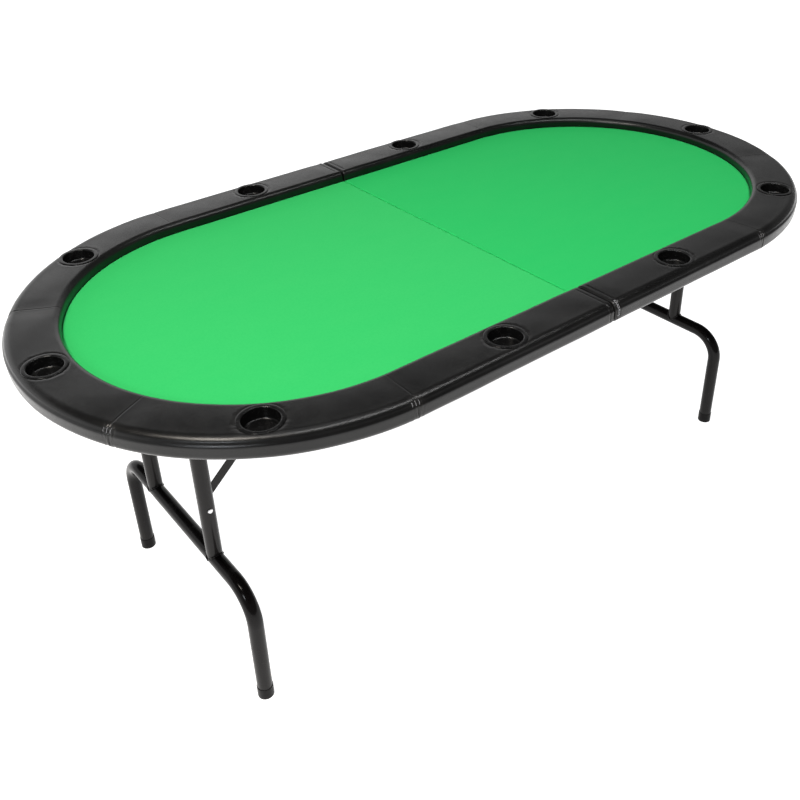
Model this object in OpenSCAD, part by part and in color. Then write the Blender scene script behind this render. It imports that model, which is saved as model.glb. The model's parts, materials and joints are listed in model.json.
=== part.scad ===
// Folding ten-seat card table: two padded half tops hinged underneath, each on a fold-down leg frame.
// Origin: floor level, under the middle of the table. X runs along the table, Y across it, Z up.
// Every left part is drawn at its place; the right half is the same set turned half round about Z.

/* [Table top] */
// Overall length over the rails
table_l = 2032; // [1700:1:2600]
// Overall width over the rails
table_w = 1067; // [900:1:1300]
// Height of the rail's top above the floor
table_h = 787; // [690:1:1000]
// Gap between the two halves at the fold
fold_gap = 4; // [3.8:0.1:8]

/* [Rail] */
// Width of the padded rail
rail_w = 111; // [96:1:150]
// Depth of the playing surface below the rail's top
felt_drop = 24; // [20:1:45]
// Radius of the rail's outer upper edge
rail_round = 20; // [12:1:26]
// Radius of the rail's outer lower edge
rail_round_low = 12; // [6:1:16]
// Radius of the rail's inner upper edge
rail_round_in = 13; // [6:1:16]
// Thickness of the vinyl cover
vinyl_t = 1.5; // [1:0.1:2.5]
// Thickness of the wooden ring inside the rail
core_t = 12; // [9:1:18]
// How far the padding stands out beyond the wooden ring and the board
pad_side = 12; // [8:1:18]
// Width of the vinyl turned in under the board
turn_in = 22; // [10:1:40]

/* [Board and cloth] */
// Thickness of the board
board_t = 15; // [12:1:25]
// Thickness of the foam-backed cloth
felt_t = 4; // [2:0.5:6]
// Width of the cross batten at the fold
batten_w = 38; // [30:1:60]
// Height of the cross batten at the fold
batten_h = 38; // [36:1:50]
// Length of the cross batten at the fold
batten_l = 530; // [430:1:540]

/* [Cup holders] */
// Radius of the cup holder's mouth
cup_r = 34; // [28:0.5:38]
// Radius of the cup holder's flange
cup_flange_r = 43; // [40:0.5:50]
// Inside depth of the cup holder, from the rail's top
cup_depth = 21; // [14:1:24]
// Wall thickness of the cup holder
cup_wall = 2; // [1.2:0.1:3]
// Distance of the first cup holder from the fold
cup_first_x = 250; // [150:1:350]
// Angle between the end cup holder and its neighbours
cup_end_angle = 57.5; // [45:0.5:65]

/* [Legs] */
// Outer diameter of the leg tubes
leg_d = 34; // [22:0.5:36]
// Wall thickness of the leg tubes
leg_wall = 1.5; // [1:0.1:2.5]
// Distance of the leg pivot from the fold
leg_pivot_x = 760; // [745:1:900]
// Distance of the leg pivot below the board
leg_pivot_drop = 23; // [22:0.5:28]
// Outward lean of the opened legs, in degrees
leg_lean = 0.8; // [0.6:0.1:3]
// Distance between the two feet of one frame
feet_span = 598; // [590:1:760]
// Distance between the two uprights of one frame
upright_span = 290; // [200:1:380]
// Height of the cross tube above the floor
cross_h = 290; // [200:1:330]
// Bend radius of the foot tube, on its centre line
bend_r = 72; // [50:1:110]
// Wall thickness of the foot cap, round the tube
cap_wall = 1; // [0.8:0.1:4]
// Height of the foot cap
cap_h = 32; // [20:1:50]

/* [Folding stays] */
// Distance of the stay's rivet from the leg pivot, along the upright
stay_leg_d = 291; // [200:1:340]
// Distance of the stay's board pivot from the leg pivot
stay_board_d = 322; // [300:1:380]
// Width of the stay's strips
stay_w = 20; // [10:0.5:24]
// Thickness of the stay's strips
stay_t = 2.5; // [2:0.1:4]

/* [Hardware] */
// Sheet thickness of the leg brackets
bracket_t = 3; // [2:0.5:4]
// Radius of the leg pivot bolt
bolt_r = 4; // [3:0.5:5]
// Radius of the rivets
rivet_r = 3; // [2:0.5:4]
// Radius of the wood screws
screw_r = 1.8; // [1.5:0.1:2.5]
// Radius of the hinge knuckle
knuckle_r = 4; // [3.5:0.1:6]
// Radius of the hinge pin
pin_r = 2; // [1.5:0.1:2.4]
// Width of one hinge
hinge_w = 70; // [50:1:100]
// Distance of each hinge from the middle of the table
hinge_y = 180; // [120:1:200]
// Radial clearance of a pin that turns in a hole
run_fit = 0.05; // [0.02:0.01:0.1]
// Side clearance between parts that move past each other
side_fit = 1; // [0.5:0.1:1.5]

/* [Hidden] */
SIDES = ["left", "right"];
ENDS = ["front", "rear"];

// Heights
board_top = table_h - felt_drop - felt_t;
board_low = board_top - board_t;
rail_h = table_h - board_low + vinyl_t;
pivot_z = board_low - leg_pivot_drop;
batten_low = board_low - batten_h;
hinge_z = batten_low - knuckle_r;

// Plan
rail_out = table_w / 2;
rail_in = rail_out - rail_w;
end_x = table_l / 2 - rail_out;
half_gap = fold_gap / 2;
board_r = rail_out - pad_side;
cup_line_r = rail_out - rail_w / 2;
core_in = rail_in + rail_round_in;
board_hold = 0.2;
big = 2 * table_l;

// Cup holders
cup_body_r = cup_r + cup_wall;
cup_hole_r = cup_body_r + 0.5;
cup_flange_t = 1.8;
cup_taper = 2;
cup_places = concat(
    [for (m = [1, -1]) [-cup_first_x, m * cup_line_r]],
    [for (a = [1, 0, -1] * cup_end_angle) [-end_x - cup_line_r * cos(a), cup_line_r * sin(a)]]
);
// in order round the rail, from the rear of the fold to its front
cup_order = [0, 2, 3, 4, 1];

// Leg frame, in its own frame: pivot at the origin, leg along -Z
leg_r = leg_d / 2;
cap_r = leg_r + cap_wall;
cap_floor = 4;
upright_top = 8;
weld_gap = 0.2;
leg_len = (pivot_z - cap_r * sin(leg_lean)) / cos(leg_lean);
tube_end = leg_len - cap_floor;
cross_drop = (pivot_z - cross_h) / cos(leg_lean);
ear_y = leg_r + side_fit;
ear_r = 14;
plate_x = 29;
plate_y = ear_y + bracket_t + 13;
bolt_head_r = 7.5;
bolt_head_t = 5.3;
nut_t = 6.5;

// Stay: the strips lie in layers beside the front upright, counted from its centre
layer_lower = leg_r + side_fit + 0.2;
layer_upper = layer_lower + stay_t + 2;
layer_ear = layer_upper + stay_t + 0.5;
rivet_head_r = 5.5;
rivet_head_t = 1.5;
stay_ear_r = 10;
stay_reach = sqrt(pow(stay_board_d, 2) + pow(stay_leg_d, 2) + 2 * stay_board_d * stay_leg_d * sin(leg_lean));
stay_upper_l = (stay_reach + stay_board_d - stay_leg_d) / 2;
stay_lower_l = (stay_reach - stay_board_d + stay_leg_d) / 2;
stay_angle = atan2(stay_leg_d * cos(leg_lean), stay_board_d + stay_leg_d * sin(leg_lean));

// Screws
screw_head_r = 3.6;
screw_head_t = 2;
screw_bite = 11;
bracket_screws = [for (x = [-21, 21]) for (m = [-1, 1]) [x, m * (plate_y - 6.5)]];
stay_plate = [34, 24];
stay_screws = [for (x = [-11, 11]) [x, layer_ear + stay_plate[1] - 7]];
batten_screws = [for (y = [-1, -1 / 3, 1 / 3, 1]) [-half_gap - batten_w / 2, y * (batten_l / 2 - 40)]];
rail_screw_places = concat(
    [for (m = [1, -1]) for (x = [60, end_x - 40]) [-x, m * (rail_in + rail_out) / 2]],
    [for (a = [-75, -29, 29, 75]) [-end_x - (rail_in + rail_out) / 2 * cos(a), (rail_in + rail_out) / 2 * sin(a)]]
);
leaf_t = half_gap - 0.5;
leaf_h = 24;
leaf_screws = [for (m = [-1, 0, 1]) [m * (hinge_w / 2 - 10), 15 - 4 * abs(m)]];
knuckle_l = hinge_w / 5;
knuckle_play = 0.3;

// ---- placing ----

module on_side(side) {
    rotate([0, 0, side == "left" ? 0 : 180]) children();
}

function end_sign(end) = end == "front" ? -1 : 1;

// A section drawn as (distance from the rim's centre line, height) carried round half the table, from the fold
module along_rim(from_x) {
    for (m = [0, 1])
        mirror([0, m, 0])
            translate([-end_x, 0, 0])
                rotate([90, 0, 90])
                    linear_extrude(end_x - from_x) children();
    translate([-end_x, 0, 0])
        rotate([0, 0, 90])
            rotate_extrude(angle = 180) children();
}

// Half an oval of the given end radius, cut square at the fold
module half_oval(r, h) {
    linear_extrude(h)
        intersection() {
            union() {
                translate([-end_x, 0]) circle(r);
                translate([-end_x, -r]) square([end_x, 2 * r]);
            }
            translate([-big, -big]) square([big - half_gap, 2 * big]);
        }
}

// ---- rail ----

// Outline of the padded rail, taken in by a margin all round
module rail_outline(inset) {
    low = table_h - rail_h + inset;
    high = table_h - inset;
    translate([rail_in + rail_round_in, table_h - rail_round_in]) circle(rail_round_in - inset);
    translate([rail_out - rail_round, table_h - rail_round]) circle(rail_round - inset);
    translate([rail_out - rail_round_low, table_h - rail_h + rail_round_low]) circle(rail_round_low - inset);
    translate([rail_in + rail_round_in, low])
        square([rail_w - rail_round_in - rail_round, high - low]);
    translate([rail_in + inset, low])
        square([rail_round_in, table_h - rail_round_in - low]);
    translate([rail_out - rail_round - rail_round_low, low])
        square([rail_round, rail_round]);
    translate([rail_out - rail_round - 1, table_h - rail_h + rail_round_low])
        square([rail_round + 1 - inset, rail_h - rail_round - rail_round_low]);
}

// What the board and the cloth take up below and inside the rail
module board_space() {
    translate([0, board_low - big]) square([board_r, big + board_t]);
}

module padded_section(inset) {
    difference() {
        rail_outline(inset);
        board_space();
    }
}

module core_section() {
    translate([core_in, board_top]) square([board_r - core_in, core_t]);
}

module cup_holes(r) {
    for (p = cup_places)
        translate([p[0], p[1], board_top + 0.5]) cylinder(r = r, h = table_h - board_top + 1);
}

module rail_core() {
    color("burlywood")
        difference() {
            along_rim(half_gap + vinyl_t) core_section();
            cup_holes(cup_hole_r);
            rail_screw_shanks();
        }
}

module rail_foam() {
    color("gainsboro")
        difference() {
            along_rim(half_gap + vinyl_t)
                difference() {
                    padded_section(vinyl_t);
                    core_section();
                }
            cup_holes(cup_hole_r);
        }
}

module rail_cover() {
    color([0.12, 0.12, 0.12])
        difference() {
            union() {
                along_rim(half_gap)
                    difference() {
                        padded_section(0);
                        rail_outline(vinyl_t);
                    }
                along_rim(half_gap)
                    translate([board_r - turn_in, board_low - vinyl_t])
                        square([turn_in + 1, vinyl_t]);
                intersection() {
                    along_rim(half_gap) padded_section(0);
                    translate([-half_gap - vinyl_t, -big, 0]) cube([vinyl_t, 2 * big, big]);
                }
            }
            cup_holes(cup_hole_r);
        }
}

module cup() {
    inside = cup_r - cup_taper;
    floor_z = -cup_depth;
    color([0.08, 0.08, 0.08])
        rotate_extrude() {
            polygon([
                [0, floor_z - cup_wall], [inside + cup_wall, floor_z - cup_wall], [cup_body_r, 0],
                [cup_flange_r - cup_flange_t, 0], [cup_flange_r - cup_flange_t, cup_flange_t], [cup_r, cup_flange_t],
                [inside, floor_z], [0, floor_z]
            ]);
            intersection() {
                translate([cup_flange_r - cup_flange_t, 0]) circle(cup_flange_t);
                square(cup_flange_r);
            }
        }
}

// ---- board, cloth, batten ----

module board() {
    color([0.13, 0.12, 0.11])
        difference() {
            translate([0, 0, board_low]) half_oval(board_r, board_t);
            screw_shanks();
            rail_screw_shanks();
        }
}

module felt() {
    color([0.12, 0.72, 0.36])
        translate([0, 0, board_top]) half_oval(rail_in - board_hold, felt_t);
}

module batten() {
    color("burlywood")
        difference() {
            translate([-half_gap - batten_w, -batten_l / 2, batten_low]) cube([batten_w, batten_l, batten_h]);
            hinge_screw_shanks();
            batten_screw_shanks();
        }
}

// ---- screws ----

module pan_screw(bite) {
    cylinder(r = screw_r, h = bite);
    translate([0, 0, -screw_head_t]) cylinder(r1 = screw_head_r * 0.7, r2 = screw_head_r, h = screw_head_t);
}

// Places, heights and lengths of the screws that hold the brackets
module at_bracket_screws() {
    for (end = ENDS)
        for (p = bracket_screws)
            translate([-leg_pivot_x + p[0], end_sign(end) * upright_span / 2 + p[1], board_low - bracket_t])
                children();
    for (p = stay_screws)
        translate([-leg_pivot_x + stay_board_d + p[0], -upright_span / 2 + p[1], board_low - stay_t])
            children();
}

module screw_shanks() {
    at_bracket_screws() cylinder(r = screw_r, h = bracket_t + screw_bite);
    batten_screw_shanks();
}

module batten_screw_shanks() {
    for (p = batten_screws)
        translate([p[0], p[1], batten_low]) cylinder(r = screw_r, h = batten_h + screw_bite);
}

module board_screws() {
    color("silver") {
        at_bracket_screws() pan_screw(bracket_t + screw_bite - 1);
        for (p = batten_screws)
            translate([p[0], p[1], batten_low]) pan_screw(batten_h + screw_bite - 1);
    }
}

module rail_screw_shanks() {
    for (p = rail_screw_places)
        translate([p[0], p[1], board_low]) cylinder(r = screw_r, h = board_t + core_t - 3);
}

module rail_screws() {
    color("silver")
        for (p = rail_screw_places)
            translate([p[0], p[1], board_low]) pan_screw(board_t + core_t - 4);
}

// ---- centre hinges ----

module at_hinge(end) {
    translate([0, end_sign(end) * hinge_y, hinge_z]) children();
}

// One of the five knuckles, counted along Y
module knuckle(i) {
    translate([0, -hinge_w / 2 + i * knuckle_l + knuckle_play / 2, 0])
        rotate([-90, 0, 0]) cylinder(r = knuckle_r, h = knuckle_l - knuckle_play);
}

module leaf_screw_shanks(r1, r2, depth) {
    for (p = leaf_screws)
        translate([-half_gap + leaf_t, p[0], p[1]])
            rotate([0, -90, 0]) cylinder(r1 = r1, r2 = r2, h = depth);
}

// The left leaf has the first, third and last knuckles; the right one, turned half round, has the others
module hinge_leaf(side, end) {
    own = side == "left" ? [0, 2, 4] : [1, 3];
    other = side == "left" ? [1, 3] : [0, 2, 4];
    slot = knuckle_r + 0.4;
    color("dimgray")
        at_hinge(end)
            difference() {
                union() {
                    translate([-half_gap, -hinge_w / 2, 0]) cube([leaf_t, hinge_w, leaf_h]);
                    for (i = own) knuckle(i);
                }
                for (i = other)
                    translate([-slot, -hinge_w / 2 + i * knuckle_l - knuckle_play / 2, -slot])
                        cube([2 * slot, knuckle_l + knuckle_play, 2 * slot]);
                rotate([90, 0, 0]) cylinder(r = pin_r + run_fit, h = hinge_w + 2, center = true);
                leaf_screw_shanks(screw_r, screw_r, leaf_t);
                leaf_screw_shanks(screw_r + leaf_t, screw_r, leaf_t);
            }
}

module hinge_pin(end) {
    color("silver")
        at_hinge(end)
            rotate([90, 0, 0]) cylinder(r = pin_r, h = hinge_w + 1, center = true);
}

module hinge_screw_shanks() {
    for (end = ENDS) at_hinge(end) leaf_screw_shanks(screw_r, screw_r, leaf_t + screw_bite + 1);
}

module hinge_screws() {
    color("silver")
        for (end = ENDS)
            at_hinge(end) {
                leaf_screw_shanks(screw_r, screw_r, leaf_t + screw_bite);
                leaf_screw_shanks(screw_r + leaf_t, screw_r, leaf_t);
            }
}

// ---- leg frames ----

module at_leg_pivot() {
    translate([-leg_pivot_x, 0, pivot_z]) children();
}

module in_leg_frame() {
    at_leg_pivot() rotate([0, leg_lean, 0]) children();
}

module bend(r) {
    rotate([90, 0, 90])
        rotate_extrude(angle = 90)
            translate([bend_r, 0]) circle(r);
}

// The foot tube as a solid rod of radius r, from foot to foot; past says how far it runs on at the feet
module foot_path(r, past) {
    for (m = [0, 1])
        mirror([0, m, 0]) {
            translate([0, feet_span / 2, -tube_end - past])
                cylinder(r = r, h = tube_end + past - cross_drop - bend_r);
            translate([0, feet_span / 2 - bend_r, -cross_drop - bend_r]) bend(r);
            translate([0, 0, -cross_drop]) rotate([-90, 0, 0]) cylinder(r = r, h = feet_span / 2 - bend_r);
        }
}

module leg_foot_tube() {
    color([0.1, 0.1, 0.1])
        in_leg_frame()
            difference() {
                foot_path(leg_r, 0);
                foot_path(leg_r - leg_wall, 1);
            }
}

// An upright, coped to sit on the cross tube
module leg_upright(end) {
    color([0.1, 0.1, 0.1])
        in_leg_frame()
            translate([0, end_sign(end) * upright_span / 2, 0])
                difference() {
                    translate([0, 0, -cross_drop]) cylinder(r = leg_r, h = cross_drop + upright_top);
                    translate([0, 0, -cross_drop - 1]) cylinder(r = leg_r - leg_wall, h = cross_drop + upright_top + 2);
                    translate([0, 0, -cross_drop])
                        rotate([90, 0, 0]) cylinder(r = leg_r + weld_gap, h = 2 * leg_d, center = true);
                    rotate([90, 0, 0]) cylinder(r = bolt_r + run_fit, h = 2 * leg_d, center = true);
                    if (end == "front")
                        translate([0, 0, -stay_leg_d])
                            rotate([90, 0, 0]) cylinder(r = rivet_r, h = 2 * leg_d, center = true);
                }
}

// A cap over the end of the foot tube, cut level with the floor
module foot_cap(end) {
    color([0.06, 0.06, 0.06])
        intersection() {
            in_leg_frame()
                translate([0, end_sign(end) * feet_span / 2, 0])
                    difference() {
                        translate([0, 0, -tube_end - 2 * cap_floor]) cylinder(r = cap_r, h = cap_h);
                        translate([0, 0, -tube_end]) cylinder(r = leg_r, h = cap_h);
                    }
            translate([-big / 2, -big / 2, 0]) cube(big);
        }
}

// ---- leg brackets ----

module leg_bracket(end) {
    top = leg_pivot_drop;
    color("dimgray")
        at_leg_pivot()
            translate([0, end_sign(end) * upright_span / 2, 0])
                difference() {
                    union() {
                        translate([-plate_x, -plate_y, top - bracket_t]) cube([2 * plate_x, 2 * plate_y, bracket_t]);
                        for (m = [0, 1])
                            mirror([0, m, 0])
                                translate([0, ear_y, 0]) {
                                    rotate([-90, 0, 0]) cylinder(r = ear_r, h = bracket_t);
                                    translate([-ear_r, 0, 0]) cube([2 * ear_r, bracket_t, top]);
                                }
                    }
                    rotate([90, 0, 0]) cylinder(r = bolt_r + run_fit, h = 4 * ear_y, center = true);
                    for (p = bracket_screws) translate([p[0], p[1], 0]) cylinder(r = screw_r, h = top + 1);
                }
}

// One bolt through each bracket, with its head outwards
module pivot_bolts() {
    side = ear_y + bracket_t;
    color("silver")
        at_leg_pivot()
            for (end = ENDS)
                translate([0, end_sign(end) * upright_span / 2, 0])
                    rotate([90, 0, 0])
                        rotate([0, end == "front" ? 0 : 180, 0]) {
                            cylinder(r = bolt_r, h = 2 * side, center = true);
                            translate([0, 0, side]) cylinder(r = bolt_head_r, h = bolt_head_t, $fn = 6);
                            translate([0, 0, -side - nut_t]) cylinder(r = bolt_head_r, h = nut_t, $fn = 6);
                        }
}

// ---- folding stays ----

// A strip with round ends and a hole in each, from the origin along +X, lying in the XZ plane
module stay_strip(length, hole_start, hole_end) {
    rotate([90, 0, 0])
        translate([0, 0, -stay_t])
            difference() {
                union() {
                    cylinder(r = stay_w / 2, h = stay_t);
                    translate([length, 0, 0]) cylinder(r = stay_w / 2, h = stay_t);
                    translate([0, -stay_w / 2, 0]) cube([length, stay_w, stay_t]);
                }
                translate([0, 0, -1]) cylinder(r = hole_start, h = stay_t + 2);
                translate([length, 0, -1]) cylinder(r = hole_end, h = stay_t + 2);
            }
}

// From the rivet on the upright, up towards the board pivot
module stay_lower() {
    color([0.15, 0.15, 0.15])
        in_leg_frame()
            translate([0, -upright_span / 2 + layer_lower, -stay_leg_d])
                rotate([0, -leg_lean - stay_angle, 0])
                    stay_strip(stay_lower_l, rivet_r + run_fit, rivet_r + 0.2);
}

module at_stay_pivot() {
    at_leg_pivot() translate([stay_board_d, -upright_span / 2, 0]) children();
}

// From the board pivot, down towards the rivet on the upright
module stay_upper() {
    color([0.15, 0.15, 0.15])
        at_stay_pivot()
            translate([0, layer_upper, 0])
                rotate([0, 180 - stay_angle, 0])
                    stay_strip(stay_upper_l, rivet_r, rivet_r);
}

module rivet(from_y, to_y) {
    translate([0, from_y, 0]) rotate([-90, 0, 0]) cylinder(r = rivet_r, h = to_y - from_y);
    translate([0, from_y - rivet_head_t, 0])
        rotate([-90, 0, 0]) cylinder(r1 = rivet_head_r - 1, r2 = rivet_head_r, h = rivet_head_t);
    translate([0, to_y, 0])
        rotate([-90, 0, 0]) cylinder(r1 = rivet_head_r, r2 = rivet_head_r - 1, h = rivet_head_t);
}

// The upper strip's two rivets: one turns in the stay bracket, one is at the knee
module stay_rivets() {
    color("silver")
        at_stay_pivot() {
            rivet(layer_upper, layer_ear + stay_t);
            rotate([0, 180 - stay_angle, 0])
                translate([stay_upper_l, 0, 0]) rivet(layer_upper, layer_upper + stay_t);
        }
}

// The rivet through the front upright, on which the lower strip turns
module leg_rivet() {
    color("silver")
        in_leg_frame()
            translate([0, -upright_span / 2, -stay_leg_d]) rivet(-leg_r - 0.5, layer_lower + stay_t);
}

module stay_bracket() {
    color("dimgray")
        at_stay_pivot()
            difference() {
                union() {
                    translate([-stay_plate[0] / 2, layer_ear, leg_pivot_drop - stay_t])
                        cube([stay_plate[0], stay_plate[1], stay_t]);
                    translate([0, layer_ear, 0])
                        rotate([-90, 0, 0]) cylinder(r = stay_ear_r, h = stay_t);
                    translate([-stay_ear_r, layer_ear, 0]) cube([2 * stay_ear_r, stay_t, leg_pivot_drop]);
                }
                translate([0, layer_ear - 1, 0])
                    rotate([-90, 0, 0]) cylinder(r = rivet_r + run_fit, h = stay_t + 2);
                for (p = stay_screws) translate([p[0], p[1], 0]) cylinder(r = screw_r, h = leg_pivot_drop + 1);
            }
}

// ---- the assembly ----

for (s = SIDES)
    on_side(s) {
        board();
        felt();
        rail_core();
        rail_foam();
        rail_cover();
        rail_screws();
        batten();
        hinge_screws();
        board_screws();
        pivot_bolts();
        stay_bracket();
        stay_upper();
        stay_lower();
        stay_rivets();
        leg_rivet();
        leg_foot_tube();
        for (i = [1:5])
            translate(concat(cup_places[cup_order[i - 1]], [table_h])) cup();
        for (e = ENDS) {
            hinge_leaf(s, e);
            leg_bracket(e);
            leg_upright(e);
            foot_cap(e);
        }
    }
for (e = ENDS)
    hinge_pin(e);
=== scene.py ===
import json
import math
import random

import bmesh
import bpy
import numpy as np
from mathutils import Matrix, Vector


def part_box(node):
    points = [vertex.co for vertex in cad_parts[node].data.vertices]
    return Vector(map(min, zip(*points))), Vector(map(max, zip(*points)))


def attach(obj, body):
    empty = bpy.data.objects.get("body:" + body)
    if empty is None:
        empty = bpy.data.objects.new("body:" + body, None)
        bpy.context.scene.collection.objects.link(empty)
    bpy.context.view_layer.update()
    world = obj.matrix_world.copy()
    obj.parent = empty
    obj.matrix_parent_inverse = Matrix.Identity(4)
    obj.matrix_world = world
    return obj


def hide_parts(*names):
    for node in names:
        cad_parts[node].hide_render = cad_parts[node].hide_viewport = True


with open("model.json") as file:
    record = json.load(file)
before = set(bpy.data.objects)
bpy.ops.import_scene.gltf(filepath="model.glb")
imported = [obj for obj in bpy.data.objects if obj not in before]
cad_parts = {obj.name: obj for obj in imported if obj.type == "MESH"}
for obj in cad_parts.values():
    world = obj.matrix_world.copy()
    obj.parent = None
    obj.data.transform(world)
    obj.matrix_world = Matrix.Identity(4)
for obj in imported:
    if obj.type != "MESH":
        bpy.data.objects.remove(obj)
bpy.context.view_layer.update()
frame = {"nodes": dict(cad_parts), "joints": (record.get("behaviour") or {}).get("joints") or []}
nodes = frame["nodes"]
joints = {j["name"]: j for j in frame["joints"]}
SIDES = ("left", "right")
ENDS = ("front", "rear")
scene = bpy.context.scene


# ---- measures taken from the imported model, in metres ----

cover_low, cover_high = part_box("rail_cover_left")
cup_low, cup_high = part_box("cup_left_3")
cloth_low, cloth_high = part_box("felt_left")
board_low, board_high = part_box("board_left")

RAIL_TOP = cover_high.z
RAIL_BOTTOM = cover_low.z
RAIL_OUT = cover_high.y
CLOTH_CLEARANCE = 0.0002
RAIL_IN = cloth_high.y + CLOTH_CLEARANCE
BOARD_R = board_high.y
BOARD_TOP = board_high.z
BOARD_BOTTOM = board_low.z
CLOTH_TOP = cloth_high.z
HALF_GAP = -cover_high.x
END_X = -cover_low.x - RAIL_OUT
HOLDER_R = (RAIL_IN + RAIL_OUT) / 2
STRAIGHT = END_X - HALF_GAP
HALF_RIM = 2 * STRAIGHT + math.pi * HOLDER_R
FLANGE_R = (cup_high.x - cup_low.x) / 2


def centre_of(node):
    low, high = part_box(node)
    return (low + high) / 2


HOLDERS = [centre_of(f"cup_left_{i}") for i in range(1, 6)]


# ---- shader building ----


class Value:
    """One output of a shader node. Arithmetic on it adds Math nodes."""

    def __init__(self, finish, socket):
        self.finish = finish
        self.socket = socket

    def math(self, kind, *sides):
        return self.finish.node("ShaderNodeMath", {"operation": kind}, dict(enumerate(sides)))

    def __add__(self, other):
        return self.math("ADD", self, other)

    def __sub__(self, other):
        return self.math("SUBTRACT", self, other)

    def __rsub__(self, other):
        return self.math("SUBTRACT", other, self)

    def __mul__(self, other):
        return self.math("MULTIPLY", self, other)

    __radd__ = __add__


class Finish:
    """A material, or the studio round the table, built from Python expressions."""

    def __init__(self, name, owner=None, shader="Principled BSDF", **fixed):
        self.material = owner or bpy.data.materials.new(name)
        self.material.use_nodes = True
        self.tree = self.material.node_tree
        self.shader = self.tree.nodes[shader]
        for socket, value in fixed.items():
            self.set(socket.replace("_", " ").title().replace("Ior", "IOR"), value)

    def node(self, kind, settings=None, values=None, out=0):
        """Adds a node: its settings first, then its values or links; gives the chosen output."""
        made = self.tree.nodes.new(kind)
        for key, value in (settings or {}).items():
            setattr(made, key, value)
        for key, value in (values or {}).items():
            self.feed(made.inputs[key], value)
        return Value(self, made.outputs[out])

    def feed(self, socket, value):
        if isinstance(value, Value):
            self.tree.links.new(value.socket, socket)
        elif hasattr(value, "__len__") and len(value) == 3 and socket.type == "RGBA":
            socket.default_value = (*value, 1)
        else:
            socket.default_value = value

    def set(self, socket, value):
        self.feed(self.shader.inputs[socket], value)

    def place(self):
        return self.node("ShaderNodeTexCoord", out="Object")

    def stretched(self, x, y, z):
        return self.node("ShaderNodeMapping", {}, {"Vector": self.place(), "Scale": (x, y, z)})

    def noise(self, scale, detail=3, rough=0.5, at=None):
        values = {"Vector": at or self.place(), "Scale": scale, "Detail": detail, "Roughness": rough}
        return self.node("ShaderNodeTexNoise", {}, values)

    def cells(self, scale, kind="F1"):
        values = {"Vector": self.place(), "Scale": scale}
        return self.node("ShaderNodeTexVoronoi", {"feature": kind}, values, "Distance")

    def step(self, value, low, high, to_low=0.0, to_high=1.0):
        """Maps value from low..high to to_low..to_high, smoothly and clamped."""
        values = {0: value, 1: low, 2: high, 3: to_low, 4: to_high}
        return self.node("ShaderNodeMapRange", {"interpolation_type": "SMOOTHSTEP"}, values)

    def mix(self, share, a, b):
        """A colour between a and b."""
        made = self.tree.nodes.new("ShaderNodeMix")
        made.data_type = "RGBA"
        for index, value in ((0, share), (6, a), (7, b)):
            self.feed(made.inputs[index], value)
        return Value(self, made.outputs[2])

    def stored(self, name):
        """A number kept on the mesh's points."""
        return self.node("ShaderNodeAttribute", {"attribute_name": name}, out="Fac")

    def edges(self):
        """Above one half on outer edges, below it in hollows."""
        return self.node("ShaderNodeNewGeometry", out="Pointiness")

    def relief(self, height, depth, strength=1.0):
        """Uses a height field as bump; depth in metres is what a height of one stands for."""
        values = {"Height": height, "Distance": depth, "Strength": strength}
        self.set("Normal", self.node("ShaderNodeBump", {}, values))
        return self.material


def make_vinyl():
    f = Finish("padded_vinyl", specular_ior_level=0.27, coat_roughness=0.42)
    warp = f.noise(60, 2)
    grain = f.cells(820, "DISTANCE_TO_EDGE")
    pores = f.step(grain, 0.02, 0.22)
    small = f.noise(1500, 2)
    creases = f.noise(38, 5, 0.62, f.stretched(1, 1, 2.4))
    strain = f.stored("strain")
    cloudy = f.noise(7, 4, 0.6)
    base = f.mix(f.step(cloudy, 0.35, 0.7), (0.0022, 0.0022, 0.0023), (0.0046, 0.0045, 0.0044))
    worn = f.mix(strain * 0.8, base, (0.016, 0.0155, 0.015))
    f.set("Base Color", f.mix(pores * 0.3, worn, (0.0065, 0.0065, 0.0063)))
    f.set("Roughness", f.step(warp + cloudy * 0.6, 0.55, 1.1, 0.21, 0.27) - strain * 0.03)
    f.set("Coat Weight", f.step(cloudy, 0.3, 0.75, 0.12, 0.2))
    return f.relief(pores * 0.5 + small * 0.12 + creases * (0.05 + strain * 3.0), 0.00007, 0.7)


def make_cloth():
    f = Finish("table_cloth", specular_ior_level=0.15, sheen_weight=0.08, sheen_roughness=0.5)
    f.set("Sheen Tint", (0.45, 1.0, 0.6))
    fibre = f.noise(1400, 4, 0.7, f.stretched(1, 0.35, 1))
    tuft = f.cells(700)
    nap = f.noise(9, 4, 0.6, f.stretched(1, 2.2, 1))
    fine = f.noise(210, 3, 0.6)
    lint = f.step(f.cells(46), 0.028, 0.045, 1.0, 0.0) * f.step(f.noise(6, 2), 0.5, 0.7)
    # painted sheen: the left half's cloth is painted a lighter green than the right half's, standing in
    # for light catching the nap differently on the two halves; a little random nap tone is mixed in
    nap_and_painted_sheen = f.stored("painted_nap_sheen") * 0.8 + f.step(nap, 0.25, 0.75) * 0.2
    green = f.mix(nap_and_painted_sheen, (0.018, 0.515, 0.119), (0.035, 0.535, 0.132))
    green = f.mix(f.step(fine, 0.35, 0.7) * 0.2, green, (0.017, 0.46, 0.1))
    f.set("Base Color", f.mix(lint * 0.3, green, (0.16, 0.72, 0.27)))
    f.set("Roughness", f.step(fibre, 0.3, 0.7, 0.86, 0.97))
    return f.relief(fibre * 0.6 + (1 - tuft) * 0.35 + fine * 0.3, 0.0003, 0.7)


def make_holder_plastic():
    f = Finish("holder_plastic", specular_ior_level=0.28, coat_weight=0.07, coat_roughness=0.08)
    pebble = f.noise(900, 3, 0.6)
    scuffs = f.noise(70, 5, 0.7)
    worn = f.step(scuffs, 0.45, 0.75)
    f.set("Base Color", f.mix(worn, (0.0035, 0.0035, 0.0036), (0.008, 0.008, 0.008)))
    f.set("Roughness", f.step(scuffs, 0.35, 0.75, 0.2, 0.32))
    return f.relief(pebble, 0.00001, 0.5)


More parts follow.
